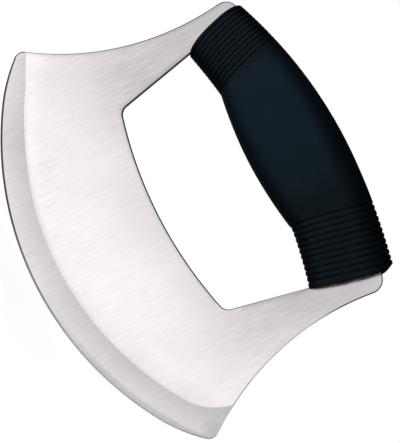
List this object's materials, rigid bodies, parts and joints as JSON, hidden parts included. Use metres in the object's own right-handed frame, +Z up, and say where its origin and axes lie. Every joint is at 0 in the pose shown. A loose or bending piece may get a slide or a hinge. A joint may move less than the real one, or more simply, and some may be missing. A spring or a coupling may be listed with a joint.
{
  "type": "mezzaluna",
  "caption": "Rocking chopper: a crescent steel plate with a ground edge and two arms that rise to an arched soft grip with ribbed ends above a finger window.",
  "frame": {"origin": "lowest point of the cutting edge, in the middle plane of the plate and on the middle line of the blade", "axes": "+Z up from the cutting edge to the grip, +X along the blade from the slimmer toe end of the grip to its heel end, +Y through the plate from the front face to the rear face"},
  "size_m": [0.1758, 0.0274, 0.1371],
  "materials": {
    "blade_steel": "brushed across the blade, satin",
    "grip_rubber": "matt, soft to the touch",
    "core_plastic": "moulded, unpolished",
    "screw_steel": "bright zinc"
  },
  "bodies": {
    "root": {"blade": "blade_steel", "grip_sleeve": "grip_rubber", "core_front": "core_plastic", "core_rear": "core_plastic", "core_screw_toe": "screw_steel", "core_screw_middle": "screw_steel", "core_screw_heel": "screw_steel"}
  },
  "joints": []
}
